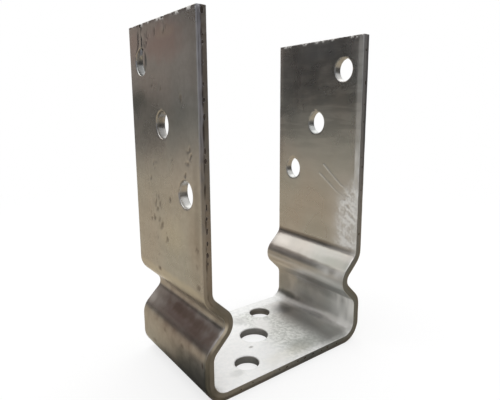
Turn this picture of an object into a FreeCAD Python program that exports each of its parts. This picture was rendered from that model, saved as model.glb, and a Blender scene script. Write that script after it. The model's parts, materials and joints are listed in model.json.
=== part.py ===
"""U-shaped post base: one strip of galvanised steel, punched flat and folded into a seat for a square post.

The middle of the strip is a flat base that is bolted down on concrete. Each end turns up into a short stub,
swells inwards in a rounded bead, on which the foot of the post sits clear of the base, and then runs
straight up as a leg that is bolted to the side of the post.

Frame: X runs from leg to leg, Y along the width of the strip and Z up. The origin is at the middle of the
underside of the base. Lengths are in millimetres and angles in degrees.
"""
import FreeCAD
import Part
import math
import os

# The strip and the space that it leaves for the post
strip_width = 60.0
sheet_thickness = 4.0
post_gap = 81.0
overall_height = 150.0

# Radii on the inside of each fold
base_fold_radius = 6.0
flank_fold_radius = 5.0
bead_fold_radius = 4.0

# The bead: how far its crest stands in from the leg, its height, and how far its flanks lean from upright
bead_depth = 9.0
bead_height = 33.0
bead_flank_angle = 45.0

# Holes in each leg, in a slanting row that starts below the top edge and crosses the leg
leg_hole_diameter = 11.0
leg_holes = 3
leg_hole_top_margin = 15.0
leg_hole_drop = 25.5
leg_hole_step = 18.0

# Holes in the base: a large one for the anchor in the middle, and a smaller one on each side of it
anchor_hole_diameter = 14.0
base_hole_diameter = 11.0
base_hole_offset_x = 17.0
base_hole_offset_y = 18.0

# Sheared edges, rounded by their zinc coat, and the broken lips of the punched holes
sheared_edge_round = 0.5
punched_lip_break = 0.4

half_sheet = sheet_thickness / 2
half_width = strip_width / 2
leg_middle = post_gap / 2 + half_sheet
surface_tolerance = 1e-6


def bead_tip():
    """Distance from the middle plane to the sharp corner that the bead's fold rounds off."""
    fold_radius = bead_fold_radius + half_sheet
    cut_back = fold_radius * (1 / math.cos(math.radians(bead_flank_angle)) - 1)
    return leg_middle - bead_depth - cut_back


def middle_line():
    """Corners of the line half-way through the sheet, from the top of one leg to the top of the other."""
    flank_rise = (leg_middle - bead_tip()) / math.tan(math.radians(bead_flank_angle))
    right_half = [
        (leg_middle, half_sheet),
        (leg_middle, bead_height - flank_rise),
        (bead_tip(), bead_height),
        (leg_middle, bead_height + flank_rise),
        (leg_middle, overall_height),
    ]
    left_half = [(-x, z) for x, z in reversed(right_half)]
    return [FreeCAD.Vector(x, 0, z) for x, z in left_half + right_half]


def fold_radii():
    """Inside radius of the fold at each inner corner of the middle line."""
    right_half = [base_fold_radius, flank_fold_radius, bead_fold_radius, flank_fold_radius]
    return list(reversed(right_half)) + right_half


def direction(start, end):
    """Unit vector from one point to another."""
    return (end - start).normalize()


def normal_of(run):
    """Unit vector in the XZ plane, square to a run and pointing to the left of it."""
    return FreeCAD.Vector(-run.z, 0, run.x)


def beside(corners, distance):
    """Corners of the line that keeps the given distance to the left of a line through corners."""
    runs = [direction(start, end) for start, end in zip(corners, corners[1:])]
    normals = [normal_of(run) for run in runs]
    moved = [corners[0] + normals[0] * distance]
    for corner, first, second in zip(corners[1:], normals, normals[1:]):
        mitre = (first + second) * (distance / (1 + first.dot(second)))
        moved.append(corner + mitre)
    moved.append(corners[-1] + normals[-1] * distance)
    return moved


def turns_left(before, corner, after):
    """True where a line turns to its left at a corner."""
    return normal_of(direction(before, corner)).dot(direction(corner, after)) > 0


def skin(distance):
    """Edges of one face of the sheet, a distance to the left of the middle line, with its folds rounded."""
    middle = middle_line()
    corners = beside(middle, distance)
    edges = []
    run_start = corners[0]
    for i, inside_radius in enumerate(fold_radii(), start=1):
        inward = distance if turns_left(*middle[i - 1:i + 2]) else -distance
        radius = inside_radius + half_sheet - inward
        arc = fold_arc(*corners[i - 1:i + 2], radius)
        edges.append(Part.LineSegment(run_start, arc.StartPoint).toShape())
        edges.append(arc.toShape())
        run_start = arc.EndPoint
    edges.append(Part.LineSegment(run_start, corners[-1]).toShape())
    return edges


def fold_arc(before, corner, after, radius):
    """Arc that rounds a corner and meets both of its runs smoothly."""
    arriving = direction(before, corner)
    leaving = direction(corner, after)
    half_turn = arriving.getAngle(leaving) / 2
    reach = radius * math.tan(half_turn)
    inwards = (leaving - arriving).normalize()
    crown = corner + inwards * (radius * (1 / math.cos(half_turn) - 1))
    return Part.Arc(corner - arriving * reach, crown, corner + leaving * reach)


def folded_strip():
    """The folded sheet, with square edges and no holes."""
    inner = skin(half_sheet)
    outer = skin(-half_sheet)
    ends = [
        Part.LineSegment(inner[i].Vertexes[j].Point, outer[i].Vertexes[j].Point).toShape()
        for i, j in ((0, 0), (-1, -1))
    ]
    outline = Part.Wire(Part.__sortEdges__(inner + outer + ends))
    section = Part.Face(outline)
    section.translate(FreeCAD.Vector(0, -half_width, 0))
    return section.extrude(FreeCAD.Vector(0, strip_width, 0))


def punch(diameter, start, way):
    """Round cutter that starts on one face of the sheet and goes through it, with room on both sides."""
    clearance = sheet_thickness
    return Part.makeCylinder(diameter / 2, sheet_thickness + 2 * clearance, start - way * clearance, way)


def leg_punches(side):
    """Cutters for one leg. Half a turn about the upright axis brings one leg's row onto the other's."""
    punches = []
    for i in range(leg_holes):
        across = side * leg_hole_step * (i - (leg_holes - 1) / 2)
        height = overall_height - leg_hole_top_margin - leg_hole_drop * i
        start = FreeCAD.Vector(side * post_gap / 2, across, height)
        punches.append(punch(leg_hole_diameter, start, FreeCAD.Vector(side, 0, 0)))
    return punches


def base_punches():
    """Cutters for the base: the anchor hole and its two smaller neighbours, one on each side."""
    up = FreeCAD.Vector(0, 0, 1)
    punches = [punch(anchor_hole_diameter, FreeCAD.Vector(), up)]
    for side in (-1, 1):
        start = FreeCAD.Vector(side * base_hole_offset_x, side * base_hole_offset_y, 0)
        punches.append(punch(base_hole_diameter, start, up))
    return punches


def punched_lips(strip):
    """Edges of the round holes, the only edges that close on themselves."""
    return [edge for edge in strip.Edges if edge.isClosed()]


def sheared_edges(strip):
    """Edges all round the two long sides of the strip and across the tops of its legs."""
    def is_sheared(edge):
        box = edge.BoundBox
        on_side = box.YLength < surface_tolerance and abs(box.YMin) > half_width - surface_tolerance
        on_top = box.ZMin > overall_height - surface_tolerance
        return on_side or on_top
    return [edge for edge in strip.Edges if is_sheared(edge)]


def post_base():
    """The whole part: the strip is folded and punched, and then all its edges are eased."""
    strip = folded_strip().cut(leg_punches(1) + leg_punches(-1) + base_punches())
    strip = strip.makeChamfer(punched_lip_break, punched_lips(strip))
    return strip.makeFillet(sheared_edge_round, sheared_edges(strip)).Solids[0]


os.makedirs("parts", exist_ok=True)
post_base().exportStep("parts/post_base.step")
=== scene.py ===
"""The looks of a galvanised post base: a folded strip of steel with a zinc coat, on a pale studio floor."""
import json
import math
import random

import bpy
from mathutils import Matrix, Vector, noise


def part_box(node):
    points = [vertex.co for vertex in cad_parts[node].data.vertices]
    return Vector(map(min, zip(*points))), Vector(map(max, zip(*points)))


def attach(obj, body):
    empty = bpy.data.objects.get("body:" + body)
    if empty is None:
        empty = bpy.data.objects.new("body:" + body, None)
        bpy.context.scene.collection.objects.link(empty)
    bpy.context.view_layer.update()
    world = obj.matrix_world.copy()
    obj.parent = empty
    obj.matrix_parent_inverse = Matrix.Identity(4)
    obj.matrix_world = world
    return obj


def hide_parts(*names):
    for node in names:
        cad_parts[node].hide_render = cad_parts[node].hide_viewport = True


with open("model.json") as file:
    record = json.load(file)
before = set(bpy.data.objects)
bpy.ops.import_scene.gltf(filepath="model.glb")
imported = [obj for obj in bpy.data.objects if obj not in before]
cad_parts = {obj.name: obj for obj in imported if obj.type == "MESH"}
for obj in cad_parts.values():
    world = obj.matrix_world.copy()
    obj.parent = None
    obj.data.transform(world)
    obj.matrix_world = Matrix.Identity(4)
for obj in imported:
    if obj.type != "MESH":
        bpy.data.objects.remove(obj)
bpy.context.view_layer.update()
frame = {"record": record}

_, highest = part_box("post_base")
bores = [mount for mount in frame["record"]["mounts"] if mount["kind"] == "bore"]

# The strip, in metres
MM = 0.001
half_width = highest.y
half_span = highest.x
leg_top = highest.z
sheet = 4 * MM
half_sheet = sheet / 2
leg_middle = half_span - half_sheet

# Folds of the strip, at the inside of each bend
base_fold = 6 * MM
flank_fold = 5 * MM
bead_fold = 4 * MM
bead_depth = 9 * MM
bead_height = 33 * MM
flank_angle = math.radians(45)

# Mesh of the strip
cell = 1.5 * MM
fold_cell = 0.8 * MM
fewest_bend_steps = 4
side_zone = 4.6 * MM
side_cuts = 8
longest_side_edge = 0.7 * MM
side_edge_cuts = 2
mark_cuts = 3
tiny = 0.01 * MM
smooth_angle = math.radians(42)

# How squarely a normal faces a way to count as facing it
squarely = 0.9
mostly = 0.75
slightly = 0.2

# Sheared sides: rolled over and smooth on the outside of the strip, torn and crisp on the inside
rolled_corner = 0.5 * MM
rolled_segments = 7
rolled_back = 0.08 * MM
crisp_corner = 0.22 * MM
crisp_segments = 3
tear_level = 1.7 * MM
tear_softness = 0.3
tear_band = 0.75
shoulder_width = 3.2 * MM
shoulder_drop = 0.12 * MM
top_round = 0.2 * MM
top_segments = 3
top_skin = 0.05 * MM
corner_zone = 1.6 * MM
flat_skin = 0.02 * MM
wave_depth = 0.3 * MM
grain_depth = 0.14 * MM

# Holes: the round of their lips with its steps in degrees, and the sides of their rings
lip = 0.5 * MM
lip_steps = (22, 44, 66)
hole_sides = 72

# Pits of the left leg's front side: height, radius and how much longer than wide, in millimetres
front_pits = (
    (148.2, 0.75, 1.7), (140.4, 0.45, 1.0), (138.0, 0.6, 1.3), (131.2, 0.4, 2.6), (124.2, 0.55, 1.5),
    (118.8, 0.6, 1.6), (113.0, 0.6, 2.2), (101.2, 0.5, 3.0), (97.6, 0.75, 1.4), (81.0, 0.45, 3.2),
    (76.6, 0.45, 2.2), (71.8, 0.5, 3.0), (67.4, 0.4, 3.6), (62.9, 0.7, 1.6), (59.6, 0.5, 1.4))
front_pit_shift = 0.1 * MM
front_pit_clear = 0.15 * MM
pit_fineness = 2
pit_squeeze = 0.9
pit_ragged = 0.25

# Notches of the legs' tops: place, radius and stretch along the top, in millimetres
top_notches = (
    ((-44.6, 17.4, 149.3), 1.0, 1.0), ((-44.7, -3.9, 149.9), 0.9, 1.5), ((-44.6, 26.0, 150.2), 0.8, 2.0),
    ((40.3, -19.4, 150.1), 1.0, 2.2), ((40.2, -14.8, 150.3), 0.8, 1.6), ((40.3, 9.0, 150.4), 0.8, 3.0))
notch_squeeze = 0.8

# Pits strewn along the other sheared sides: how many to a side, and a row's start and length in millimetres
spare_pits = 12
pit_seed = 11
spare_pit_clear = 0.2 * MM
leg_pits_start = 52
leg_pits_run = 94
base_pits_start = -31
base_pits_run = 62

# Zinc that ran down from the left leg's top and set in the hole below, as places across and up the leg
run_down = ((17.2, 150.0), (17.6, 141.8), (19.4, 138.4))
run_width = 1.7
run_rim = 1.3
run_wander = 0.9
blisters = ((13.1, 144.4), (12.6, 141.9), (9.9, 144.8))
blister_width = 1.1
blister_rim = 0.9
groove_depth = 0.17 * MM
set_drops = (((-43.1, 19.6, 138.7), (1.2, 1.4, 2.7)), ((-43.45, 14.9, 135.9), (0.95, 3.1, 5.7)))
drop_segments = 40
drop_rings = 28

# The marked part of the left leg's outside, in millimetres
marked_from = 44
marked_to = 148.6
marked_half_width = 28.6
run_above = 126
run_left = 5
run_right = 25
scuff_margin = 0.8

# Where scuffs are noted for the finish: this close to the left leg's outside and above this height
outside_skin = 0.5 * MM
scuff_floor = 40 * MM

# Ridges of zinc on the inside of the right leg, as places across and up the leg
ridges = (((-6.3, 88.1), (-11.7, 83.8), (-18.5, 79.0), (-26.4, 76.0)),
          ((-3.3, 83.3), (-9.0, 79.8), (-15.3, 75.5), (-20.3, 73.4), (-27.5, 70.4)))
ridge_width = 0.8
ridge_share = 0.45

# Rough zinc on the inside of the right leg, in millimetres but for its height
dross_height = 0.32 * MM
dross_from = 46
dross_to = 92
dross_front = -29.4
dross_back = -1
dross_top = 56

# The right side's inside, in millimetres: heights where stub and bead end, spans of x, and the fold's crease,
# where a painted highlight runs
stub_end = 22
bead_end = 44
fold_start = 4.7
stub_inside = (37.6, 41.2)
bead_inside = (30, 34.6)
leg_inside = (39.9, 41.1)
crease_level = 7.7
crease_drop = 2.4

# Scuffs of the left leg's outside: place across and up the leg, and how far each lot of them reaches
scuffs = (
    ((-21.7, 101.1), 2.2), ((-23.0, 98.6), 2.0), ((-20.4, 95.0), 2.6), ((-18.8, 91.6), 1.8),
    ((-7.0, 97.3), 1.5), ((8.5, 93.1), 2.6), ((14.6, 86.5), 3.2), ((-4.6, 79.8), 1.8),
    ((7.5, 76.8), 5.6), ((12.4, 70.0), 4.2), ((4.6, 68.4), 4.0), ((0.2, 63.2), 3.6),
    ((10.0, 62.0), 2.8), ((1.3, 56.9), 1.4), ((7.6, 53.4), 1.6), ((8.2, 47.3), 2.0),
    ((-26.5, 49.0), 2.6), ((-24.5, 57.0), 2.4), ((-26.0, 64.0), 2.0), ((-22.0, 52.5), 1.6),
    ((7.9, 124.9), 1.2), ((0.4, 123.8), 1.6), ((-17.0, 120.0), 3.0), ((3.0, 145.0), 2.2),
    ((-6.0, 145.6), 3.2))

# Tones of the stains and of the painted shade and highlights
# painted shade of the left bead's hollow
painted_hollow_shade = (0.25, 0.19, 0.178, 1)
drab = (0.3, 0.32, 0.29, 1)
ruddy = (0.58, 0.43, 0.4, 1)
# dark marks, and painted shade in the left bottom fold, a bore of the base and along the right bend and bead
soot_and_shade = (0.13, 0.1, 0.08, 1)
# painted shade in two bores of the left leg, in and beside the right fold and stub, and on the beads
painted_shade_grey = (0.17, 0.17, 0.17, 1)
# painted shade over the upper part of the right leg's inside
cool = (0.27, 0.29, 0.305, 1)
moss = (0.2, 0.225, 0.2, 1)
# pale zinc, and painted highlights on bends, crests, corners and the base
chalk_and_highlight = (0.85, 0.84, 0.82, 1)
# a yellow tint, and painted highlight along the left leg's bend above the bead
straw_and_sheen = (0.78, 0.74, 0.62, 1)
# painted shade low on the left stub and foot, at the left bead's front and in the right fold
painted_shade_dark = (0.14, 0.145, 0.135, 1)
lead = (0.45, 0.45, 0.43, 1)
# painted highlight along the left bead's lower bend
rose_highlight = (0.62, 0.55, 0.52, 1)
# brown of the left leg's torn side, and painted shade on the left bead and foot
umber_and_shade = (0.15, 0.1, 0.075, 1)
mist = (0.5, 0.53, 0.56, 1)
taupe = (0.38, 0.33, 0.29, 1)
ash = (0.46, 0.445, 0.41, 1)
buff = (0.43, 0.365, 0.31, 1)

# Tones of the zinc coat: its darker and lighter places, each between a warm tone and a cool one
warm_dark = (0.5, 0.475, 0.45, 1)
cool_dark = (0.47, 0.48, 0.465, 1)
warm_light = (0.63, 0.605, 0.58, 1)
cool_light = (0.6, 0.61, 0.6, 1)
mottle_dark = (0.6, 0.61, 0.575, 1)
mottle_light = (0.88, 0.89, 0.855, 1)
# near-white painted highlight on the base's left part and its front and back rims
glare_dark = (0.93, 0.94, 0.935, 1)
glare_light = (0.99, 0.99, 0.98, 1)
# painted shade in streaks up the right leg's inside
streaked_shade_tone = (0.22, 0.23, 0.235, 1)
scuff_tone = (0.24, 0.2, 0.165, 1)
# pale dull zinc, and painted highlight on the right bead's crest, the right fold's crease and the right leg's
# ridges and shoulder
dull_and_sheen_tone = (0.8, 0.795, 0.77, 1)

# Tones of the sheared sides and of the rust in their pits
rolled_dark = (0.29, 0.285, 0.305, 1)
rolled_light = (0.54, 0.53, 0.55, 1)
rolled_low = (0.36, 0.328, 0.285, 1)
rolled_foot = (0.2, 0.19, 0.173, 1)
rolled_right_low = (0.19, 0.19, 0.185, 1)
rolled_right_high = (0.33, 0.33, 0.335, 1)
torn_dark = (0.2, 0.192, 0.175, 1)
torn_light = (0.34, 0.327, 0.3, 1)
torn_right_low = (0.22, 0.24, 0.245, 1)
torn_right_high = (0.42, 0.416, 0.43, 1)
gash_tone = (0.06, 0.047, 0.04, 1)
rust_dark = (0.02, 0.014, 0.01, 1)
rust_light = (0.06, 0.042, 0.03, 1)

# Stains of the coat and spots of painted light, laid in this order: place and reach in millimetres, share and
# tone. The dark spots in the left bead's hollow, the bores, folds, creases and feet are painted shade; the
# pale spots on bends, crests, corners and the base are painted highlights.
stains_and_painted_light = (
    ((-38, -4, 24), (13, 40, 13), 0.85, painted_hollow_shade), ((-44.5, 23.3, 119.5), (3, 12, 7), 0.6, moss),
    ((-44.5, -3, 141), (3, 24, 10), 0.6, ruddy), ((-44.5, 25, 142), (3, 7, 8), 0.35, ruddy),
    ((-44.5, -4, 146), (3, 3, 2.2), 0.45, chalk_and_highlight), ((-44.5, -5, 144), (3, 10, 3), 0.3, straw_and_sheen),
    ((-44, -4, 45.8), (3, 60, 3), 0.5, straw_and_sheen), ((-43, -12, 4), (5, 24, 5), 0.6, soot_and_shade),
    ((-44.5, -27, 128), (3, 3.5, 26), 0.14, drab), ((-44.5, -26.5, 72), (3, 3.5, 30), 0.3, soot_and_shade),
    ((-44.5, -10.4, 18.6), (3, 2.4, 1.6), 0.5, soot_and_shade), ((-44.5, 5.9, 19), (3, 2, 1.6), 0.4, soot_and_shade),
    ((-44.5, 17.7, 9), (4, 3, 2), 0.4, soot_and_shade), ((-44.5, 8.2, 47.4), (3, 2.2, 1.5), 0.6, soot_and_shade),
    ((-8.1, -8.7, 4), (1.8, 1.2, 2), 0.6, soot_and_shade), ((-24.6, -22.2, 4), (4, 3, 2), 0.25, drab),
    ((40.5, 18, 138), (3, 34, 30), 0.6, cool), ((40.5, -4, 146), (3, 18, 9), 0.4, mist),
    ((17, 18, 1.6), (8, 8, 2.2), 0.75, soot_and_shade), ((38.2, -1, 5.3), (2.4, 32, 1.6), 0.8, painted_shade_grey),
    ((40.5, 25, 14), (3, 11, 9), 0.35, painted_shade_grey), ((-44, -21, 8.5), (5, 30, 13), 0.85, painted_shade_dark),
    ((-40.5, 27.5, 26.5), (5, 6, 6), 0.8, chalk_and_highlight), ((13, -21.5, 4), (14, 8, 3), 0.55, drab),
    ((40.5, 9, 14), (3, 14, 10), 0.4, painted_shade_grey), ((40.4, 2, 46.7), (2, 70, 1.7), 0.6, soot_and_shade),
    ((32, -10, 31), (1.8, 28, 1.6), 0.3, chalk_and_highlight), ((33, 18, 28.6), (2, 13, 2), 0.5, chalk_and_highlight),
    ((-42.7, 8, 24.1), (1.8, 44, 1.6), 0.35, rose_highlight), ((-38.6, -4, 28.4), (3, 38, 3), 0.5, umber_and_shade),
    ((-35.7, -26, 31.6), (2.5, 9, 3), 0.4, painted_shade_grey), ((-43.2, -4, 42.8), (2.5, 60, 2.2), 0.6, straw_and_sheen),
    ((40.4, -6, 19.4), (2, 32, 3.4), 0.45, painted_shade_grey), ((39.6, -4, 22.2), (2.5, 26, 2.2), 0.35, chalk_and_highlight),
    ((39.9, -20, 7.4), (2, 16, 2.4), 0.75, chalk_and_highlight), ((-44.5, 5, 113), (3, 40, 9), 0.25, drab),
    ((31.6, 14, 33.2), (1.5, 26, 1.5), 0.4, painted_shade_grey), ((-44.2, -29.7, 12.5), (2.4, 2.2, 17), 0.9, painted_shade_dark),
    ((-36.6, -29.6, 30), (2.4, 1.6, 2.6), 0.9, chalk_and_highlight), ((-40, -29.8, 26.5), (4.5, 1.2, 4.5), 0.6, chalk_and_highlight),
    ((-44.4, -27.5, 17.5), (1.5, 1.3, 2.4), 0.8, soot_and_shade), ((-43.5, -29.5, 5.5), (2, 1.4, 3), 0.8, umber_and_shade),
    ((-41, -18, 25), (3.5, 18, 3.5), 0.4, umber_and_shade), ((-44.5, -5, 65), (3, 15, 10), 0.3, straw_and_sheen),
    ((-44.5, -23, 66), (3, 6, 18), 0.3, taupe), ((9.5, 5, 4), (7, 12, 2.5), 0.8, chalk_and_highlight),
    ((2, 16, 4), (6.5, 6.5, 2.5), 0.42, lead), ((29, 14, 4), (6.5, 7, 3), 0.6, painted_shade_grey),
    ((39.8, 20, 7.6), (2.5, 14, 2.6), 0.75, painted_shade_dark), ((33.1, 8, 38), (1.6, 40, 1.4), 0.5, soot_and_shade),
    ((40.5, -25, 49.2), (2, 6, 1.2), 0.7, chalk_and_highlight), ((3, -24, 4), (16, 7, 2.5), 0.25, straw_and_sheen),
    ((40.5, -23, 142), (3, 7, 16), 0.3, chalk_and_highlight), ((35, -26, 39.8), (5, 34, 3.4), 0.5, drab),
    ((36.5, 25, 41.5), (5, 12, 5), 0.5, chalk_and_highlight), ((36.3, 9, 4.4), (3, 12, 2), 0.35, painted_shade_grey),
    ((-42.5, 18, 135), (2.1, 15, 15), 0.8, painted_shade_grey), ((-42.5, 0, 109.5), (2.1, 15, 15), 0.7, painted_shade_grey))

# Marks of the sheared sides, in the same way: painted shade and highlights on their rolled part, stains on
# their torn part
rolled_painted_light = (
    ((-44, -30, 8), (5, 4, 20), 0.85, painted_shade_dark), ((-35.5, -30, 30), (4, 4, 4.5), 0.9, chalk_and_highlight),
    ((-39.5, -30, 26), (4, 4, 5), 0.5, chalk_and_highlight), ((-37.5, -30, 38.5), (6, 4, 8), 0.5, painted_shade_dark))
torn_stains = (
    ((-18, -30, 3), (32, 4, 4), 0.8, ash), ((-42.5, -30, 66), (4, 4, 44), 0.6, buff),
    ((-42.5, -30, 132), (4, 4, 32), 0.42, umber_and_shade))

# Patches of the mat under the part, in the same way: tones of the mat, with painted shadow in the dark ones
# by the left stub and under the base, and a painted pool of light in the pale one behind the part's left half
mat_tone = (0.462, 0.397, 0.302, 1)
mat_patches_and_painted_light = (
    ((300, -500, 0), (420, 420, 99), 1, (0.33, 0.315, 0.29, 1)),
    ((-286, -170, 0), (220, 200, 99), 1, (0.34, 0.29, 0.225, 1)),
    ((-20, 70, 0), (28, 60, 99), 1, (0.8, 0.74, 0.65, 1)),
    ((-47, -12, 0), (12, 52, 99), 1, (0.05, 0.045, 0.04, 1)),
    ((-620, 580, 0), (420, 420, 99), 1, (0.52, 0.48, 0.41, 1)),
    ((0, -5, 0), (52, 52, 99), 1, (0.3, 0.3, 0.29, 1)),
    ((-62, -10, 0), (24, 38, 99), 1, (0.2, 0.195, 0.18, 1)))

# Cards that the metal shows: name, azimuths in degrees, distance, lower and upper end in metres, and glow
cards = (
    ("brown_flag_foot", (-4, -34), 0.7, 0, 0.03, (0.46, 0.405, 0.33)),
    ("brown_flag_low", (-4, -34), 0.7, 0.03, 0.15, (0.145, 0.14, 0.132)),
    ("brown_flag_middle", (-4, -34), 0.7, 0.15, 0.29, (0.37, 0.315, 0.277)),
    ("brown_flag_high", (-4, -34), 0.7, 0.29, 0.52, (0.12, 0.095, 0.088)),
    ("dark_flag_foot", (-33, -62), 1.2, 0, 0.073, (0.43, 0.405, 0.36)),
    ("dark_flag", (-33, -60), 1.2, 0.073, 0.46, (0.02, 0.0215, 0.0235)),
    ("plum_flag", (-33, -64), 1.2, 0.46, 0.93, (0.13, 0.115, 0.11)),
    ("pale_flag", (4, -44), 0.7, 0.52, 0.67, (2.65, 2.48, 2.25)),
    ("beam_flag", (-42, 26), 0.7, 0.68, 1.25, (0.07, 0.07, 0.067)),
    ("grey_flag", (-60, -96), 0.7, 0, 0.6, (0.28, 0.28, 0.3)),
    ("front_left_flag", (-96, -130), 0.7, 0, 0.6, (0.3, 0.3, 0.33)),
    ("front_middle_flag", (-130, -192), 0.7, 0, 0.6, (0.34, 0.34, 0.36)),
    ("front_right_flag", (58, 112), 0.7, 0, 0.4, (0.1, 0.1, 0.095)),
    ("front_flag", (112, 168), 0.7, 0, 0.4, (0.12, 0.115, 0.108)))

# Soft lights: name, azimuth and elevation in degrees, distance and size in metres, and radiance
softboxes = (
    ("back_softbox", 50, 47, 0.7, (0.5, 0.36), 0.8),
    ("top_softbox", -28, 72, 0.8, (0.62, 0.4), 1.35))

# The floor, the mat and the camera
floor_size = 8
floor_drop = 0.05 * MM
floor_tone = (0.93, 0.93, 0.93, 1)
floor_shadow_near = 0.1
floor_shadow_far = 0.5
floor_least_white = 0.72
mat_size = 4
mat_drop = 0.03 * MM
white = (1, 1, 1, 1)
camera_place = (-118.6 * MM, -164.25 * MM, 115.3 * MM)
camera_heading = math.radians(-39.66)
camera_pitch = math.radians(10.355)
camera_roll = math.radians(0.411)
camera_lens = 31.155
camera_sensor = 36
camera_shift = (-0.0635, -0.02)


def deselect():
    """Leaves nothing selected, because an operator acts on all that is."""
    if bpy.context.mode != "OBJECT":
        bpy.ops.object.mode_set(mode="OBJECT")
    bpy.ops.object.select_all(action="DESELECT")


def hold(piece):
    """Makes one piece the selected and active one."""
    deselect()
    piece.select_set(True)
    bpy.context.view_layer.objects.active = piece


def settle(piece, kind, **settings):
    """Adds a modifier to a piece and applies it."""
    hold(piece)
    modifier = piece.modifiers.new(kind.lower(), kind)
    for name, value in settings.items():
        setattr(modifier, name, value)
    bpy.ops.object.modifier_apply(modifier=modifier.name)


def apply_place(piece):
    """Puts a piece's place, turn and size into its mesh."""
    hold(piece)
    bpy.ops.object.transform_apply(location=True, rotation=True, scale=True)


def open_for_edit(piece, mode):
    """Opens a piece in edit mode with nothing selected, to pick vertices, edges or faces."""
    hold(piece)
    bpy.ops.object.mode_set(mode="EDIT")
    bpy.ops.mesh.select_mode(type=mode)
    bpy.ops.mesh.select_all(action="DESELECT")
    bpy.ops.object.mode_set(mode="OBJECT")


def select_vertices(piece, chosen):
    """Selects, in edit mode, the vertices whose place answers a question."""
    open_for_edit(piece, "VERT")
    for vertex in piece.data.vertices:
        vertex.select = chosen(vertex.co)
    bpy.ops.object.mode_set(mode="EDIT")


def select_edges(piece, chosen):
    """Selects, in edit mode, the edges whose two ends answer a question."""
    open_for_edit(piece, "EDGE")
    places = piece.data.vertices
    for edge in piece.data.edges:
        edge.select = chosen(places[edge.vertices[0]].co, places[edge.vertices[1]].co)
    bpy.ops.object.mode_set(mode="EDIT")


def select_faces(piece, chosen):
    """Selects, in edit mode, the faces whose middle and normal answer a question."""
    open_for_edit(piece, "FACE")
    for face in piece.data.polygons:
        face.select = chosen(face.center, face.normal)
    bpy.ops.object.mode_set(mode="EDIT")


def drag(step, reach):
    """Moves what is selected by a step, and draws along what lies within reach."""
    bpy.ops.transform.translate(value=step, use_proportional_edit=True,
                                proportional_edit_falloff="SMOOTH", proportional_size=reach)


def along(heading):
    """Unit vector of a heading in the XZ plane, from +X towards +Z."""
    return Vector((math.cos(heading), 0, math.sin(heading)))


def run_on(end, heading, length):
    """Pulls the strip's end straight on, a mesh cell at a time."""
    steps = max(1, round(length / cell))
    step = along(heading) * (length / steps)
    for _ in range(steps):
        bpy.ops.mesh.extrude_region_move(TRANSFORM_OT_translate={"value": step})
    return end + along(heading) * length


def bend(end, heading, turn, radius):
    """Spins the strip's end about a point beside it, to the left for a positive turn."""
    side = math.copysign(1, turn)
    centre = end + along(heading + side * math.pi / 2) * radius
    steps = max(fewest_bend_steps, round(radius * abs(turn) / fold_cell))
    bpy.ops.mesh.spin(steps=steps, angle=abs(turn), center=centre, axis=(0, side, 0))
    return centre + along(heading + turn - side * math.pi / 2) * radius


def section():
    """The strip's cross-section as one face at the middle of the base, its corners rounded as sheared."""
    deselect()
    bpy.ops.mesh.primitive_plane_add(size=1, rotation=(0, math.pi / 2, 0))
    strip = bpy.context.object
    strip.name = "bracket"
    apply_place(strip)
    bpy.ops.object.mode_set(mode="EDIT")
    bpy.ops.mesh.select_all(action="SELECT")
    bpy.ops.transform.resize(value=(1, 2 * half_width, sheet), center_override=(0, 0, 0))
    bpy.ops.transform.translate(value=(0, 0, half_sheet))
    select_vertices(strip, lambda place: place.z < half_sheet)
    bpy.ops.mesh.bevel(offset=rolled_corner, segments=rolled_segments, affect="VERTICES")
    select_vertices(strip, lambda place: place.z > sheet - tiny)
    bpy.ops.mesh.bevel(offset=crisp_corner, segments=crisp_segments, affect="VERTICES")
    drop_shoulders(strip)
    roll_sides(strip)
    mark_tear(strip)
    return strip


def drop_shoulders(strip):
    """Divides the section's two long edges and lowers the upper one towards its ends."""
    def near_side(one, other):
        level = abs(one.z - other.z) < tiny
        return level and abs(one.y + other.y) / 2 > half_width - side_zone

    def crisp(place):
        return place.z > half_sheet and abs(place.y) > half_width - 1.2 * crisp_corner

    select_edges(strip, lambda one, other: (one - other).length > half_width)
    bpy.ops.mesh.subdivide(number_cuts=round(2 * half_width / cell) - 1)
    select_edges(strip, near_side)
    bpy.ops.mesh.subdivide(number_cuts=1)
    select_vertices(strip, crisp)
    drag((0, 0, -shoulder_drop), shoulder_width)


def roll_sides(strip):
    """Divides the section's two sides and draws back the half of each that rolled over."""
    def rolled_end(side):
        return lambda place: place.z < 1.1 * rolled_corner and side * place.y > half_width - rolled_corner

    select_edges(strip, lambda one, other: (one - other).length > sheet / 2)
    bpy.ops.mesh.subdivide(number_cuts=side_cuts)
    for side in (-1, 1):
        select_vertices(strip, rolled_end(side))
        drag((0, -side * rolled_back, 0), tear_level - rolled_corner)
    bpy.ops.object.mode_set(mode="OBJECT")


def note(strip, name, measure):
    """Notes a value on each point of a mesh, for the finish to follow."""
    values = strip.data.attributes.new(name, "FLOAT", "POINT").data
    for vertex in strip.data.vertices:
        values[vertex.index].value = max(0, min(1, measure(vertex.co)))


def mark_tear(strip):
    """Notes on the section where its sides tore, so that every face pulled from it carries the note."""
    def on_side(place):
        return abs(place.y) > half_width - 0.6 * crisp_corner

    def above(place):
        return (place.z - tear_level) / MM

    def torn(place):
        return ease(-tear_softness, tear_softness, above(place)) if on_side(place) else 0

    def tear(place):
        return ease(tear_band, 0, abs(above(place))) if on_side(place) else 0

    note(strip, "torn", torn)
    note(strip, "tear", tear)


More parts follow.
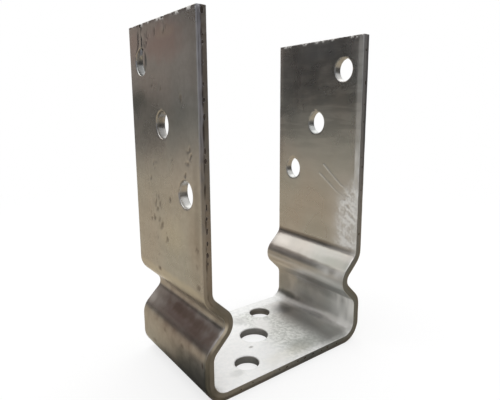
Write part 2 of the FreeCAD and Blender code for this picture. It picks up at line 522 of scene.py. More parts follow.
def fold_steps():
    """The folds and runs of half the strip, from the middle of the base to the top of the right leg."""
    base_radius = base_fold + half_sheet
    flank_radius = flank_fold + half_sheet
    bead_radius = bead_fold + half_sheet
    base_run = leg_middle - base_radius
    bead_tip = leg_middle - bead_depth - bead_radius * (1 / math.cos(flank_angle) - 1)
    flank_rise = (leg_middle - bead_tip) / math.tan(flank_angle)
    flank_reach = flank_radius * math.tan(flank_angle / 2)
    bead_reach = bead_radius * math.tan(flank_angle)
    stub = bead_height - flank_rise - flank_reach - half_sheet - base_radius
    flank_run = (leg_middle - bead_tip) / math.sin(flank_angle) - flank_reach - bead_reach
    leg_run = leg_top - bead_height - flank_rise - flank_reach
    return [("run", base_run), ("bend", math.pi / 2, base_radius), ("run", stub),
            ("bend", flank_angle, flank_radius), ("run", flank_run), ("bend", -2 * flank_angle, bead_radius),
            ("run", flank_run), ("bend", flank_angle, flank_radius), ("run", leg_run)]


def fold(strip):
    """Runs and spins the section along the folds of half the strip."""
    hold(strip)
    bpy.ops.object.mode_set(mode="EDIT")
    bpy.ops.mesh.select_mode(type="FACE")
    bpy.ops.mesh.select_all(action="SELECT")
    end = Vector((0, 0, half_sheet))
    heading = 0
    for kind, *amounts in fold_steps():
        if kind == "run":
            end = run_on(end, heading, amounts[0])
        else:
            end = bend(end, heading, *amounts)
            heading += amounts[0]


def close_top(strip):
    """Rounds the leg's top and divides its one large face into small ones."""
    bpy.ops.mesh.region_to_loop()
    bpy.ops.mesh.bevel(offset=top_round, segments=top_segments, affect="EDGES")
    select_faces(strip, lambda middle, normal: middle.z > leg_top - tiny)
    bpy.ops.mesh.quads_convert_to_tris(quad_method="BEAUTY", ngon_method="BEAUTY")
    bpy.ops.mesh.tris_convert_to_quads()


def face_outwards(piece):
    """Turns all faces of a closed piece outwards."""
    hold(piece)
    bpy.ops.object.mode_set(mode="EDIT")
    bpy.ops.mesh.select_all(action="SELECT")
    bpy.ops.mesh.normals_make_consistent(inside=False)
    bpy.ops.object.mode_set(mode="OBJECT")


def folded_strip():
    """The whole folded strip, without its holes."""
    strip = section()
    fold(strip)
    close_top(strip)
    select_faces(strip, lambda middle, normal: abs(middle.x) < tiny)
    bpy.ops.mesh.delete(type="FACE")
    settle(strip, "MIRROR", use_axis=(True, False, False), merge_threshold=tiny)
    face_outwards(strip)
    return strip


def punch_rings(radius):
    """Heights and radii of a cutter's rings: straight in the middle, with a round lip flared at both ends."""
    flare = [(half_sheet - lip, radius)]
    for degrees in lip_steps:
        angle = math.radians(degrees)
        flare.append((half_sheet - lip * (1 - math.sin(angle)), radius + lip * (1 - math.cos(angle))))
    height, ring = flare[-1]
    flare.append((height + lip, ring + lip * math.tan(math.radians(lip_steps[-1]))))
    return [(-height, ring) for height, ring in reversed(flare)] + flare


def punch(radius, place, way):
    """A cutter through one wall of the sheet, flared at both faces so that the hole's lips are round."""
    rings = punch_rings(radius)
    deselect()
    bpy.ops.mesh.primitive_circle_add(vertices=hole_sides, radius=rings[0][1], fill_type="NGON")
    cutter = bpy.context.object
    bpy.ops.object.mode_set(mode="EDIT")
    bpy.ops.mesh.select_mode(type="FACE")
    bpy.ops.mesh.select_all(action="SELECT")
    bpy.ops.transform.translate(value=(0, 0, rings[0][0]))
    for (height, ring), (next_height, next_ring) in zip(rings, rings[1:]):
        bpy.ops.mesh.extrude_region_move(TRANSFORM_OT_translate={"value": (0, 0, next_height - height)})
        growth = next_ring / ring
        bpy.ops.transform.resize(value=(growth, growth, 1), center_override=(0, 0, next_height))
    face_outwards(cutter)
    turn = way.to_track_quat("Z", "Y").to_matrix().to_4x4()
    cutter.matrix_world = Matrix.Translation(place) @ turn
    apply_place(cutter)
    return cutter


def punches():
    """A cutter for each hole that the record states, two where a bore goes through both legs."""
    cutters = []
    for bore in bores:
        place = Vector(bore["pos_m"])
        way = Vector(bore["axis"])
        radius = bore["dims"]["r_mm"] * MM
        length = bore["dims"]["length_mm"] * MM
        offset = length / 2 - half_sheet
        sides = (-1, 1) if length > 2 * sheet else (0,)
        cutters += [punch(radius, place + way * offset * side, way) for side in sides]
    return cutters


def pit(place, radius, stretch, seed):
    """A small ragged lump that leaves a pit where it is cut out."""
    deselect()
    bpy.ops.mesh.primitive_ico_sphere_add(subdivisions=pit_fineness, radius=radius, location=place)
    lump = bpy.context.object
    bpy.ops.transform.resize(value=stretch, center_override=place)
    apply_place(lump)
    bpy.ops.object.mode_set(mode="EDIT")
    bpy.ops.mesh.select_all(action="SELECT")
    bpy.ops.transform.vertex_random(offset=radius * pit_ragged, seed=seed)
    bpy.ops.object.mode_set(mode="OBJECT")
    return lump


def seen_pits():
    """Places, radii and stretches of the left leg's front pits and of the notches in the tops."""
    for height, radius, stretch in front_pits:
        place = Vector((-leg_middle + front_pit_shift, -half_width - front_pit_clear, height * MM))
        yield place, radius * MM, (pit_squeeze, pit_squeeze, stretch)
    for place, radius, stretch in top_notches:
        yield Vector(place) * MM, radius * MM, (1, stretch, notch_squeeze)


def strewn_pits():
    """Places, radii and stretches of pits strewn along the other sides of the legs and of the base."""
    chance = random.Random(pit_seed)
    outside = half_width + spare_pit_clear
    for side_x, side_y in ((1, -1), (1, 1), (-1, 1)):
        for number in range(spare_pits):
            height = leg_pits_start + (number + chance.uniform(0.25, 0.75)) * leg_pits_run / spare_pits
            across = side_x * (leg_middle + chance.uniform(-0.6, 0.3) * MM)
            radius = chance.uniform(0.3, 0.55) * MM
            stretch = chance.uniform(1, 2.6)
            yield Vector((across, side_y * outside, height * MM)), radius, (pit_squeeze, pit_squeeze, stretch)
    for side_y in (-1, 1):
        for number in range(spare_pits):
            across = base_pits_start + (number + chance.uniform(0.3, 0.7)) * base_pits_run / spare_pits
            height = half_sheet + chance.uniform(-0.3, 0.8) * MM
            radius = chance.uniform(0.3, 0.5) * MM
            stretch = chance.uniform(1, 2)
            yield Vector((across * MM, side_y * outside, height)), radius, (stretch, pit_squeeze, pit_squeeze)


def pits(rust):
    """Lumps that cut all the pits where the sheared steel tore, each in rust."""
    lumps = []
    for place, radius, stretch in (*seen_pits(), *strewn_pits()):
        lumps.append(pit(place, radius, stretch, len(lumps)))
    for lump in lumps:
        lump.data.materials.append(rust)
    return lumps


def across_and_up(place):
    """A place on a leg as millimetres across and up."""
    return place.y / MM, place.z / MM


def distance_to(point, line):
    """How far a point is from a line of points, all as places across and up a leg."""
    nearest = math.dist(point, line[0])
    for (y0, z0), (y1, z1) in zip(line, line[1:]):
        run_y = y1 - y0
        run_z = z1 - z0
        share = ((point[0] - y0) * run_y + (point[1] - z0) * run_z) / (run_y ** 2 + run_z ** 2)
        share = min(1, max(0, share))
        nearest = min(nearest, math.dist(point, (y0 + share * run_y, z0 + share * run_z)))
    return nearest


def ease(low, high, value):
    """Rises smoothly from 0 at one value to 1 at another."""
    share = min(1, max(0, (value - low) / (high - low)))
    return share * share * (3 - 2 * share)


def ripple(place, waves):
    """Smooth noise about 0 at a place, with so many waves to a metre."""
    return noise.noise(place * waves)


def groove_beside(place):
    """How deep the face lies beside the run and round the blisters, so that they stand out as humps."""
    point = across_and_up(place)
    wander = run_wander * ripple(place, 210)
    depths = [ease(0, 1, 1 - abs(distance_to(point, run_down) - run_width + wander) / run_rim)]
    for blister in blisters:
        away = distance_to(point, [blister]) - blister_width + 0.5 * wander
        depths.append(ease(0, 1, 1 - abs(away) / blister_rim))
    return max(depths) * ease(-0.5, 0.35, ripple(place, 330))


def zinc_ridge(place):
    """How high the zinc stands on the right leg's inside along the two ridges."""
    point = across_and_up(place)
    heights = [ease(0, 1, 1 - distance_to(point, line) / ridge_width) for line in ridges]
    return ridge_share * max(heights) * (0.7 + 0.3 * ripple(place, 400))


def zinc_dross(place):
    """How rough the zinc is on the right leg's inside, low down and towards the front."""
    y, z = across_and_up(place)
    top = dross_top - y
    amount = ease(-11, -23, y) * ease(top + 5, top - 8, z) * ease(46.5, 49, z)
    drift = Vector((0, 0.87 * place.y + 0.5 * place.z, 5 * (0.87 * place.z - 0.5 * place.y)))
    lump = 0.42 + 0.5 * ripple(drift, 120) + 0.4 * ripple(place, 300) + 0.5 * ripple(place, 1000)
    return amount * ease(-0.3, 1.1, lump)


def dull_stub_and_crease_highlight(place):
    """How dull and pale the zinc is on the right stub and fold: a painted highlight along a slanted crease,
    and streaks towards the front.
    """
    y, z = across_and_up(place)
    streak = 0.62 + 0.8 * noise.noise(Vector((0, place.y * 420, place.z * 90)))
    level = crease_level - crease_drop * ease(-20, 16, y)
    crease = ease(1.1, 0.2, abs(z - level)) * (0.75 + 0.4 * ripple(place, 300))
    front = 1.2 * ease(-11, -24, y) * ease(5.4, 6.2, z)
    return max(front * streak, crease * (0.4 + 0.6 * ease(4, -22, y)))


def bead_crest_highlight(place):
    """How dull and pale the zinc is on the right bead: a painted highlight along its crest, towards the
    front.
    """
    y, z = across_and_up(place)
    crest = ease(33, 34.5, z) * ease(38.2, 36.5, z) * ease(-6, -18, y)
    return 0.6 * crest * (0.7 + 0.6 * ripple(place, 250))


def dull_leg_and_sheen(place):
    """How dull and pale the zinc is on the right leg's inside: on its dross and low towards the front, with
    painted highlight on its front shoulder and along its ridges.
    """
    y, z = across_and_up(place)
    shoulder = ease(-26.4, -27.6, y) * (0.25 + 0.6 * ease(120, 85, z)) * (0.75 + 0.4 * ripple(place, 200))
    dull_and_sheen = 0.25 * ease(-6, -22, y) * ease(100, 70, z)
    return max(dull_and_sheen + 1.1 * zinc_dross(place), 1.6 * zinc_ridge(place), shoulder)


def dull_zinc_and_sheen(place):
    """How dull and pale the zinc is on the inside of the right leg, its bead or its stub, partly as painted
    highlight, and 0 elsewhere.
    """
    x = place.x / MM
    z = place.z / MM
    if z < stub_end:
        return dull_stub_and_crease_highlight(place) if stub_inside[0] < x < stub_inside[1] and z > fold_start else 0
    if z < bead_end:
        return bead_crest_highlight(place) if bead_inside[0] < x < bead_inside[1] else 0
    return dull_leg_and_sheen(place) if leg_inside[0] < x < leg_inside[1] else 0


def scuffed(place):
    """How deep the left leg's outside is scuffed, in short slanted strokes and crumbs."""
    point = across_and_up(place)
    amount = max(ease(1, 0.3, math.dist(point, middle) / extent) for middle, extent in scuffs)
    across = 0.85 * place.y + 0.53 * place.z
    down = 0.85 * place.z - 0.53 * place.y
    stroke = ease(-0.04, 0.26, noise.noise(Vector((9.1, 900 * across, 330 * down))))
    return amount * stroke * ease(-0.6, -0.1, ripple(place, 260))


def rolled_wave(place):
    """How far the rolled corner of a side is drawn in, unevenly along the strip and most on the left leg."""
    wave = max(0, 0.5 + 0.5 * ripple(place, 260) + 0.35 * ripple(place, 900))
    return wave * (0.25 + 0.75 * ease(-30, -40, place.x / MM))


def torn_grain(place):
    """How deep the torn half of a side is, in grains."""
    return max(0, 0.45 + 0.6 * ripple(place, 700) + 0.4 * ripple(place, 1900))


def divide(strip, chosen):
    """Divides the chosen faces finely."""
    select_faces(strip, chosen)
    bpy.ops.mesh.subdivide(number_cuts=mark_cuts)
    bpy.ops.object.mode_set(mode="OBJECT")


def lift(strip, chosen, weigh, height):
    """Lifts the chosen points along their normals by a height times a weight."""
    group = strip.vertex_groups.new(name="lifted")
    for vertex in strip.data.vertices:
        if chosen(vertex.co, vertex.normal):
            group.add([vertex.index], max(0, min(1, weigh(vertex.co))), "REPLACE")
    settle(strip, "DISPLACE", strength=height, mid_level=0, vertex_group=group.name)
    strip.vertex_groups.remove(strip.vertex_groups["lifted"])


def near_marks(place, normal):
    """Tells whether a place is on the left leg's outside, near the run, a blister or a scuff."""
    if normal.x > -squarely or place.x > 0 or abs(place.y) > marked_half_width * MM:
        return False
    if place.z > marked_to * MM or place.z < marked_from * MM:
        return False
    y, z = across_and_up(place)
    if run_left < y < run_right and z > run_above:
        return True
    return any(math.dist((y, z), middle) < extent + scuff_margin for middle, extent in scuffs)


def near_dross(place, normal):
    """Tells whether a place is on the right leg's inside, where the zinc set rough."""
    within = dross_from * MM < place.z < dross_to * MM and dross_front * MM < place.y < dross_back * MM
    return within and normal.x < -squarely and place.x > 0


def spread_zinc(strip):
    """The run, blisters and scuffs of the left leg, and the ridges and dross of the right one."""
    divide(strip, near_marks)
    lift(strip, near_marks, lambda place: max(groove_beside(place), scuffed(place)), -groove_depth)
    divide(strip, near_dross)
    lift(strip, near_dross, lambda place: max(zinc_dross(place), zinc_ridge(place)), dross_height)


def roughen_sides(strip):
    """Draws the rolled corners in unevenly, and gives the torn halves of the sheared sides their grain."""
    def long_on_side(one, other):
        return min(abs(one.y), abs(other.y)) > half_width - tiny and (one - other).length > longest_side_edge

    def on_corner(place, normal):
        return half_width - corner_zone < abs(place.y) < half_width - flat_skin and abs(normal.y) > slightly

    def on_side(place, normal):
        return abs(place.y) > half_width - flat_skin and abs(normal.y) > squarely

    select_edges(strip, long_on_side)
    bpy.ops.mesh.subdivide(number_cuts=side_edge_cuts)
    bpy.ops.object.mode_set(mode="OBJECT")
    lift(strip, on_corner, rolled_wave, -wave_depth)
    lift(strip, on_side, torn_grain, -grain_depth)
    open_for_edit(strip, "FACE")
    bpy.ops.object.mode_set(mode="EDIT")
    bpy.ops.mesh.select_face_by_sides(number=4, type="GREATER")
    bpy.ops.mesh.quads_convert_to_tris(quad_method="BEAUTY", ngon_method="BEAUTY")
    bpy.ops.object.mode_set(mode="OBJECT")


def set_drop(strip, place, size, zinc):
    """A drop of zinc that set in the hole under the run."""
    deselect()
    middle = Vector(place) * MM
    bpy.ops.mesh.primitive_uv_sphere_add(segments=drop_segments, ring_count=drop_rings,
                                         radius=1 * MM, location=middle)
    drop = bpy.context.object
    bpy.ops.transform.resize(value=size, center_override=middle)
    apply_place(drop)
    drop.data.materials.append(zinc)
    settle(strip, "BOOLEAN", object=drop, operation="UNION", solver="EXACT", material_mode="TRANSFER")
    bpy.data.objects.remove(drop)


def cut_out(strip, cutters):
    """Joins the cutters, takes them out of the strip and removes them."""
    hold(cutters[0])
    for cutter in cutters:
        cutter.select_set(True)
    bpy.ops.object.join()
    joined = bpy.context.object
    settle(strip, "BOOLEAN", object=joined, operation="DIFFERENCE", solver="EXACT", material_mode="TRANSFER")
    bpy.data.objects.remove(joined)


def note_zinc(strip):
    """Notes on the mesh where the zinc is scuffed, and where it set rough or pale or carries a painted
    highlight, for the finish to follow.
    """
    def left_scuffs(place):
        on_left = place.x < -half_span + outside_skin and place.z > scuff_floor
        return scuffed(place) if on_left else 0

    note(strip, "scuff", left_scuffs)
    note(strip, "dross_and_sheen", dull_zinc_and_sheen)


def bracket(zinc, sheared, rust):
    """The whole post base."""
    strip = folded_strip()
    strip.data.materials.append(zinc)
    strip.data.materials.append(sheared)
    for face in strip.data.polygons:
        cut_side = abs(face.normal.y) > mostly or face.center.z > leg_top - top_skin
        face.material_index = 1 if cut_side else 0
    spread_zinc(strip)
    roughen_sides(strip)
    cutters = punches()
    for cutter in cutters:
        cutter.data.materials.append(zinc)
    cut_out(strip, cutters)
    for place, size in set_drops:
        set_drop(strip, place, size, zinc)
    cut_out(strip, pits(rust))
    note_zinc(strip)
    hold(strip)
    bpy.ops.object.shade_smooth_by_angle(angle=smooth_angle)
    return strip


def add(tree, kind, sockets=None, **settings):
    """Adds a shader node, with its settings and the values or links of its sockets."""
    node = tree.nodes.new("ShaderNode" + kind)
    for name, value in settings.items():
        setattr(node, name, value)
    for name, value in (sockets or {}).items():
        if isinstance(value, bpy.types.NodeSocket):
            tree.links.new(value, node.inputs[name])
        else:
            node.inputs[name].default_value = value
    return node


def new_material(name):
    """A material with nodes, its tree and its shader."""
    material = bpy.data.materials.new(name)
    material.use_nodes = True
    tree = material.node_tree
    return material, tree, tree.nodes["Principled BSDF"]


def new_group(name, inputs, outputs):
    """A shader node group with named sockets, and its two end nodes."""
    group = bpy.data.node_groups.new(name, "ShaderNodeTree")
    for socket, kind in inputs.items():
        group.interface.new_socket(socket, in_out="INPUT", socket_type="NodeSocket" + kind)
    for socket, kind in outputs.items():
        group.interface.new_socket(socket, in_out="OUTPUT", socket_type="NodeSocket" + kind)
    return group, group.nodes.new("NodeGroupInput").outputs, group.nodes.new("NodeGroupOutput").inputs


def place_group(tree, group, **sockets):
    """Places a node group in a material, with its sockets set or linked, and gives its outputs."""
    return add(tree, "Group", sockets, node_tree=group).outputs


def cloudy(tree, position, scale, detail=3.0, distortion=0.0, roughness=0.55):
    """Cloudy noise at a place, from 0 to 1."""
    node = add(tree, "TexNoise", {"Vector": position, "Scale": scale, "Detail": detail,
                                  "Distortion": distortion, "Roughness": roughness})
    return node.outputs["Fac"]


def sums(tree, operation, one, other, third=None):
    """One step of arithmetic on values."""
    sockets = {0: one, 1: other}
    if third is not None:
        sockets[2] = third
    return add(tree, "Math", sockets, operation=operation).outputs[0]


def product(tree, first, *others):
    """Several values multiplied together."""
    for other in others:
        first = sums(tree, "MULTIPLY", first, other)
    return first


def weighed(tree, shares, start=0.0):
    """Values added up by their shares, on top of a start."""
    for value, share in shares:
        start = sums(tree, "MULTIPLY_ADD", value, share, start)
    return start


def spread(tree, value, low, high, to_low=0.0, to_high=1.0):
    """Maps a value smoothly from one range to another, held at its ends."""
    node = add(tree, "MapRange", {"Value": value, "From Min": low, "From Max": high,
                                  "To Min": to_low, "To Max": to_high}, interpolation_type="SMOOTHSTEP")
    return node.outputs["Result"]


def over(tree, coordinate, start, end, to_start=0.0, to_end=1.0):
    """Maps a coordinate smoothly between two places in millimetres, held beyond them."""
    return spread(tree, coordinate, start * MM, end * MM, to_start, to_end)


def blend(tree, share, one, other):
    """Mixes two colours."""
    node = add(tree, "Mix", data_type="RGBA")
    for index, value in ((0, share), (6, one), (7, other)):
        if isinstance(value, bpy.types.NodeSocket):
            tree.links.new(value, node.inputs[index])
        else:
            node.inputs[index].default_value = value
    return node.outputs[2]


def noted(tree, name):
    """The value that the mesh notes under a name."""
    return add(tree, "Attribute", attribute_name=name).outputs["Fac"]


def place_on_piece(tree):
    """The place on a piece, in the piece's own coordinates."""
    return add(tree, "TexCoord").outputs["Object"]


def axes(tree, position):
    """The three parts of a place."""
    return add(tree, "SeparateXYZ", {0: position}).outputs


def feed(tree, shader, **sockets):
    """Links values or colours to the shader's sockets."""
    for name, value in sockets.items():
        tree.links.new(value, shader.inputs[name.replace("_", " ")])


def bumped(tree, relief, position, waves, peel, grain):
    """The normal of a coat's relief, its three heights in metres."""
    height = place_group(tree, relief, Position=position, Waves=waves, Peel=peel, Grain=grain)["Height"]
    bump = add(tree, "Bump", {"Height": height, "Distance": 1.0, "Strength": 1.0})
    return bump.outputs["Normal"]


def bloom_group():
    """Clouds, patches, specks and slanted drain streaks of a dipped zinc coat."""
    group, given, put = new_group("zinc_bloom", {"Position": "Vector"},
                                  {"Cloud": "Float", "Patch": "Float", "Speck": "Float", "Streak": "Float"})
    position = given["Position"]
    slant = add(group, "Mapping", {"Vector": position, "Rotation": (math.radians(-36), 0, 0),
                                   "Scale": (60, 40, 210)}).outputs[0]
    clouds = cloudy(group, position, scale=30)
    patches = cloudy(group, position, scale=90, detail=2, distortion=0.6, roughness=0.4)
    specks = cloudy(group, position, scale=1300, detail=2)
    streaks = cloudy(group, slant, scale=1, detail=3, distortion=0.4)
    group.links.new(spread(group, clouds, 0.3, 0.7), put["Cloud"])
    group.links.new(spread(group, patches, 0.25, 0.75), put["Patch"])
    group.links.new(spread(group, specks, 0.35, 0.7), put["Speck"])
    group.links.new(spread(group, streaks, 0.3, 0.7), put["Streak"])
    return group


def relief_group():
    """The height of a dipped coat: slow waves, orange peel and grain, each as high as it is told."""
    heights = {"Waves": "Float", "Peel": "Float", "Grain": "Float"}
    group, given, put = new_group("coat_relief", {"Position": "Vector", **heights}, {"Height": "Float"})
    position = given["Position"]
    waves = cloudy(group, position, scale=60, detail=2)
    peel = cloudy(group, position, scale=260, detail=2)
    grain = cloudy(group, position, scale=900, detail=3)
    height = weighed(group, ((waves, given["Waves"]), (peel, given["Peel"]), (grain, given["Grain"])))
    group.links.new(height, put["Height"])
    return group


def spot_group():
    """A soft ragged spot about a place, with its reach along each axis."""
    group, given, put = new_group("spot", {"Position": "Vector", "Centre": "Vector", "Reach": "Vector"},
                                  {"Mask": "Float"})
    position = given["Position"]
    away = add(group, "VectorMath", {0: position, 1: given["Centre"]}, operation="SUBTRACT").outputs[0]
    away = add(group, "VectorMath", {0: away, 1: given["Reach"]}, operation="DIVIDE").outputs[0]
    distance = add(group, "VectorMath", {0: away}, operation="LENGTH").outputs["Value"]
    ragged = weighed(group, ((cloudy(group, position, scale=140, detail=2), 0.9),), distance)
    group.links.new(spread(group, ragged, 1.5, 0.65), put["Mask"])
    return group


def blend_patches(tree, spot, position, colour, marks):
    """Blends patches into a colour, stains or painted shade and light, their places and reaches in
    millimetres.
    """
    for centre, reach, share, tone in marks:
        mask = place_group(tree, spot, Position=position, Centre=Vector(centre) * MM,
                           Reach=Vector(reach) * MM)["Mask"]
        colour = blend(tree, product(tree, mask, share), colour, tone)
    return colour


def coat_colour(tree, position, axis, coat):
    """The coat's own colour, in clouds, patches, streaks and specks, and flecked on the left leg."""
    tone = weighed(tree, ((coat["Cloud"], 0.35), (coat["Patch"], 0.3),
                          (coat["Streak"], 0.3), (coat["Speck"], 0.05)))
    fleck = spread(tree, cloudy(tree, position, scale=430, detail=3), 0.3, 0.7, -0.2, 0.2)
    tone = weighed(tree, ((fleck, over(tree, axis["X"], -38, -42)),), tone)
    tint = spread(tree, cloudy(tree, position, scale=24, detail=2), 0.35, 0.65)
    darker = blend(tree, tint, warm_dark, cool_dark)
    lighter = blend(tree, tint, warm_light, cool_light)
    return blend(tree, tone, darker, lighter)


def frost_masks(tree, position, axis):
    """Where the base's upper face is, where along its front and back rims a painted highlight lies, and where
    it is frosted or so highlighted.
    """
    low = product(tree, over(tree, axis["Z"], 8, 4.2), over(tree, axis["Z"], 3.2, 3.8))
    clouds = spread(tree, cloudy(tree, position, scale=70, detail=3), 0.3, 0.7, 0.8, 1.0)
    frost = product(tree, low, over(tree, axis["X"], 31, 15), over(tree, axis["X"], -42, -37), clouds)
    broken = spread(tree, cloudy(tree, position, scale=300, detail=3), 0.3, 0.6, 0.3, 0.9)
    # Painted highlight along the base's front and back rims
    rim = product(tree, over(tree, axis["Y"], -26, -28), over(tree, axis["X"], 34, 8, 0.4, 1.0), broken)
    rim = sums(tree, "MAXIMUM", rim, over(tree, axis["Y"], 19, 25, 0.0, 0.8))
    rim = product(tree, rim, low)
    return low, rim, sums(tree, "MAXIMUM", frost, rim)


def frosted(tree, position, axis, colour, frost, rim):
    """Blends the base's frost into a colour: near-white and smooth as a painted highlight on its left part
    and rims, mottled elsewhere.
    """
    mottle = spread(tree, cloudy(tree, position, scale=520, detail=4), 0.38, 0.62)
    mottled = blend(tree, mottle, mottle_dark, mottle_light)
    smooth = blend(tree, mottle, glare_dark, glare_light)
    painted_glare = sums(tree, "MAXIMUM", over(tree, axis["X"], 9, -4), rim)
    return blend(tree, product(tree, frost, 0.9), colour, blend(tree, painted_glare, mottled, smooth))


def dull_and_sheen_places(tree, position, axis):
    """Where the coat is dull and pale, partly as painted highlight: where the mesh notes it, and in crumbs
    along the legs' tops.
    """
    crumbs = spread(tree, cloudy(tree, position, scale=420, detail=4), 0.5, 0.6)
    crumbs = product(tree, over(tree, axis["Z"], 148.2, 149.7), crumbs)
    return sums(tree, "MAXIMUM", noted(tree, "dross_and_sheen"), product(tree, crumbs, 0.8))


def coat_roughness(tree, axis, coat, frost, scuff, dull_and_sheen):
    """How rough the coat is: least on the legs, more in the folds and where frosted, scuffed or dull."""
    calm = weighed(tree, ((coat["Cloud"], 0.5), (coat["Patch"], 0.5)))
    folds = over(tree, axis["Z"], 50, 44, 0.0, 0.07)
    hollow = product(tree, over(tree, axis["X"], 33, 36), over(tree, axis["Z"], 32, 28))
    rough = sums(tree, "ADD", spread(tree, calm, 0.1, 0.9, 0.26, 0.31), folds)
    return weighed(tree, ((frost, 0.18), (hollow, 0.08), (scuff, 0.2), (dull_and_sheen, 0.3)), rough)


def zinc_material(bloom, relief, spot):
    """The zinc coat of the faces: satin grey with soft blotches, stains, scuffs and dull pale places, and
    painted shade and highlights.
    """
    material, tree, shader = new_material("zinc_coat")
    position = place_on_piece(tree)
    axis = axes(tree, position)
    coat = place_group(tree, bloom, Position=position)
    scuff = noted(tree, "scuff")
    dull_and_sheen = dull_and_sheen_places(tree, position, axis)
    low, rim, frost = frost_masks(tree, position, axis)

    colour = coat_colour(tree, position, axis, coat)
    # Pale frost on the base, with a near-white painted highlight on its left part and rims
    colour = frosted(tree, position, axis, colour, frost, rim)
    # Painted shade: darker in streaks up the right leg's inside from 88 mm
    streaked_shade = spread(tree, coat["Streak"], 0.8, 0.1, 0.0, 0.34)
    streaked_shade = product(tree, over(tree, axis["X"], 38, 40), over(tree, axis["Z"], 88, 112), streaked_shade)
    colour = blend(tree, streaked_shade, colour, streaked_shade_tone)
    # Stains, and painted shade and highlights, from their table
    colour = blend_patches(tree, spot, position, colour, stains_and_painted_light)
    colour = blend(tree, product(tree, scuff, 0.6), colour, scuff_tone)
    # Pale where the zinc is dull, and painted highlight on the right bead's crest, the right fold's crease
    # and the right leg's ridges and shoulder
    colour = blend(tree, dull_and_sheen, colour, dull_and_sheen_tone)

    rough = coat_roughness(tree, axis, coat, frost, scuff, dull_and_sheen)
    metal = weighed(tree, ((dull_and_sheen, -0.6), (frost, -0.68)), 1.0)
    grain = weighed(tree, ((low, 0.012 * MM),), 0.004 * MM)
    normal = bumped(tree, relief, position, waves=0.05 * MM, peel=0.012 * MM, grain=grain)
    feed(tree, shader, Base_Color=colour, Roughness=rough, Metallic=metal, Normal=normal)
    return material


def rolled_colour(tree, position, axis, tone, spot):
    """The rolled half of a sheared side: zinc grey, browner lower down and dark at the foot, with spots of
    painted shade and painted highlight.
    """
    colour = blend(tree, tone, rolled_dark, rolled_light)
    colour = blend(tree, over(tree, axis["Z"], 112, 88, 0.0, 0.7), colour, rolled_low)
    colour = blend(tree, over(tree, axis["Z"], 50, 34, 0.0, 0.65), colour, rolled_foot)
    return blend_patches(tree, spot, position, colour, rolled_painted_light)


def tear_gash(tree, position, axis):
    """How dark a sheared side is along its tear, in dashes that are strongest on the left leg."""
    tear = noted(tree, "tear")
    dashes = add(tree, "Mapping", {"Vector": position, "Scale": (300, 300, 95)}).outputs[0]
    gash = weighed(tree, ((tear, 0.2),), cloudy(tree, dashes, scale=1, detail=2))
    gash = product(tree, spread(tree, gash, 0.5, 0.85), spread(tree, tear, 0.0, 0.8))
    on_leg = product(tree, over(tree, axis["X"], -38, -41), over(tree, axis["Z"], 36, 48))
    return product(tree, gash, weighed(tree, ((on_leg, 0.85),), 0.15))


def sheared_material(bloom, relief, spot):
    """The sheared sides: smooth and grey where rolled, brown and rough where torn, dark along the tear."""
    material, tree, shader = new_material("sheared_steel")
    position = place_on_piece(tree)
    axis = axes(tree, position)
    torn = noted(tree, "torn")
    coat = place_group(tree, bloom, Position=position)
    tone = weighed(tree, ((coat["Cloud"], 0.4), (coat["Patch"], 0.6)))
    rolled = rolled_colour(tree, position, axis, tone, spot)
    broken = blend(tree, tone, torn_dark, torn_light)
    broken = blend_patches(tree, spot, position, broken, torn_stains)
    right = over(tree, axis["X"], -5, 10, 0.0, 0.75)
    up = over(tree, axis["Z"], 20, 90)
    rolled = blend(tree, right, rolled, blend(tree, up, rolled_right_low, rolled_right_high))
    broken = blend(tree, right, broken, blend(tree, up, torn_right_low, torn_right_high))
    colour = blend(tree, torn, rolled, broken)
    colour = blend(tree, tear_gash(tree, position, axis), colour, gash_tone)
    rough = spread(tree, torn, 0.0, 1.0, 0.32, 0.5)
    normal = bumped(tree, relief, position, waves=0.03 * MM, peel=0.04 * MM, grain=0.015 * MM)
    feed(tree, shader, Base_Color=colour, Roughness=rough, Normal=normal)
    shader.inputs["Metallic"].default_value = 1
    return material


def rust_material(bloom):
    """The dark rust of the pits."""
    material, tree, shader = new_material("pit_rust")
    coat = place_group(tree, bloom, Position=place_on_piece(tree))
    feed(tree, shader, Base_Color=blend(tree, coat["Patch"], rust_dark, rust_light))
    shader.inputs["Roughness"].default_value = 0.85
    return material


def matte(shader):
    """Takes the shine off a surface of the studio."""
    shader.inputs["Roughness"].default_value = 0.9
    shader.inputs["Specular IOR Level"].default_value = 0.0


def flat_piece(name, size, drop):
    """A square sheet just under the part."""
    deselect()
    bpy.ops.mesh.primitive_plane_add(size=size, location=(0, 0, -drop))
    piece = bpy.context.object
    piece.name = name
    return piece


def studio_floor():
    """A pale floor just under the part, white to the camera but for the part's shadow."""
    floor = flat_piece("floor", floor_size, floor_drop)
    material, tree, shader = new_material("pale_floor")
    shader.inputs["Base Color"].default_value = floor_tone
    matte(shader)
    path = add(tree, "LightPath").outputs
    seen = sums(tree, "MAXIMUM", path["Is Camera Ray"], path["Is Glossy Ray"])
    seen = sums(tree, "MAXIMUM", seen, path["Is Transmission Ray"])
    away = add(tree, "VectorMath", {0: place_on_piece(tree)}, operation="LENGTH").outputs["Value"]
    share = spread(tree, away, floor_shadow_near, floor_shadow_far, floor_least_white, 1.0)
    glow = add(tree, "Emission", {"Color": white, "Strength": 1.0})
    mix = add(tree, "MixShader", {0: product(tree, seen, share), 1: shader.outputs[0], 2: glow.outputs[0]})
    tree.links.new(mix.outputs[0], tree.nodes["Material Output"].inputs["Surface"])
    floor.data.materials.append(material)


def reflected_only(piece):
    """Keeps a studio card out of the picture and off the floor, so that only the metal shows it."""
    piece.visible_camera = False
    piece.visible_diffuse = False
    piece.visible_shadow = False


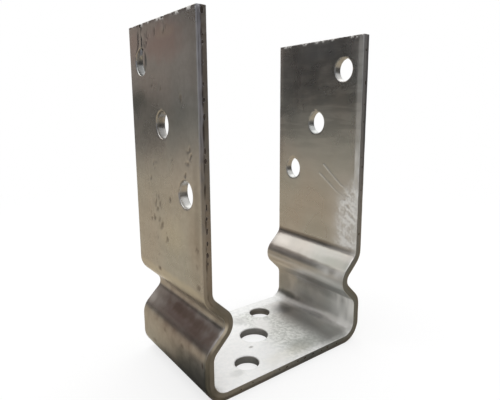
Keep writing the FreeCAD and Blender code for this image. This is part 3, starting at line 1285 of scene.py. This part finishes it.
def table_mat(spot):
    """A brown mat under the part, which the lower half of the metal shows, with painted shadow and a painted
    pool of light in its patches.
    """
    mat = flat_piece("table_mat", mat_size, mat_drop)
    material, tree, shader = new_material("brown_mat")
    colour = blend_patches(tree, spot, place_on_piece(tree), mat_tone, mat_patches_and_painted_light)
    feed(tree, shader, Base_Color=colour)
    matte(shader)
    mat.data.materials.append(material)
    reflected_only(mat)


def bearing(azimuth, distance, height=0):
    """A place at a distance from the part, by its azimuth from +Y towards +X in degrees."""
    angle = math.radians(azimuth)
    return Vector((math.sin(angle) * distance, math.cos(angle) * distance, height))


def card(name, azimuths, distance, low, high, colour):
    """An upright card between two azimuths, from one height to another."""
    deselect()
    bpy.ops.mesh.primitive_plane_add(size=1, rotation=(math.pi / 2, 0, 0))
    piece = bpy.context.object
    piece.name = name
    apply_place(piece)
    one, other = (bearing(azimuth, distance, (low + high) / 2) for azimuth in azimuths)
    across = other - one
    turn = Matrix.Rotation(math.atan2(across.y, across.x), 4, "Z")
    size = Matrix.Diagonal((across.length, 1, high - low, 1))
    piece.matrix_world = Matrix.Translation((one + other) / 2) @ turn @ size
    apply_place(piece)
    material, tree, _ = new_material(name)
    glow = add(tree, "Emission", {"Color": (*colour, 1), "Strength": 1.0})
    tree.links.new(glow.outputs[0], tree.nodes["Material Output"].inputs["Surface"])
    piece.data.materials.append(material)
    reflected_only(piece)


def softbox(name, azimuth, elevation, distance, size, radiance):
    """A large soft light that faces the part."""
    light = bpy.data.lights.new(name, "AREA")
    light.shape = "RECTANGLE"
    light.size, light.size_y = size
    light.energy = radiance * math.pi * light.size * light.size_y
    lamp = bpy.data.objects.new(name, light)
    bpy.context.scene.collection.objects.link(lamp)
    height = math.radians(elevation)
    place = bearing(azimuth, distance * math.cos(height), distance * math.sin(height))
    lamp.matrix_world = Matrix.Translation(place) @ place.to_track_quat("Z", "Y").to_matrix().to_4x4()
    lamp.visible_camera = False


def aim_camera():
    """The camera, where the photograph was taken from."""
    lens = bpy.data.cameras.new("camera")
    lens.sensor_width = camera_sensor
    lens.lens = camera_lens
    lens.shift_x, lens.shift_y = camera_shift
    camera = bpy.data.objects.new("camera", lens)
    turn = Matrix.Rotation(camera_heading, 4, "Z")
    tilt = Matrix.Rotation(math.pi / 2 - camera_pitch, 4, "X")
    roll = Matrix.Rotation(camera_roll, 4, "Z")
    camera.matrix_world = Matrix.Translation(camera_place) @ turn @ tilt @ roll
    bpy.context.scene.collection.objects.link(camera)
    bpy.context.scene.camera = camera


def light_world():
    """A white world all round."""
    world = bpy.data.worlds.new("studio")
    bpy.context.scene.world = world
    world.use_nodes = True
    world.node_tree.nodes["Background"].inputs["Color"].default_value = white


bloom = bloom_group()
relief = relief_group()
spot = spot_group()
zinc = zinc_material(bloom, relief, spot)
sheared = sheared_material(bloom, relief, spot)
rust = rust_material(bloom)
strip = bracket(zinc, sheared, rust)
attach(strip, "root")
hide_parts("post_base")

studio_floor()
table_mat(spot)
for flag in cards:
    card(*flag)
for lamp in softboxes:
    softbox(*lamp)
aim_camera()
light_world()
bpy.context.scene.view_settings.view_transform = "Standard"
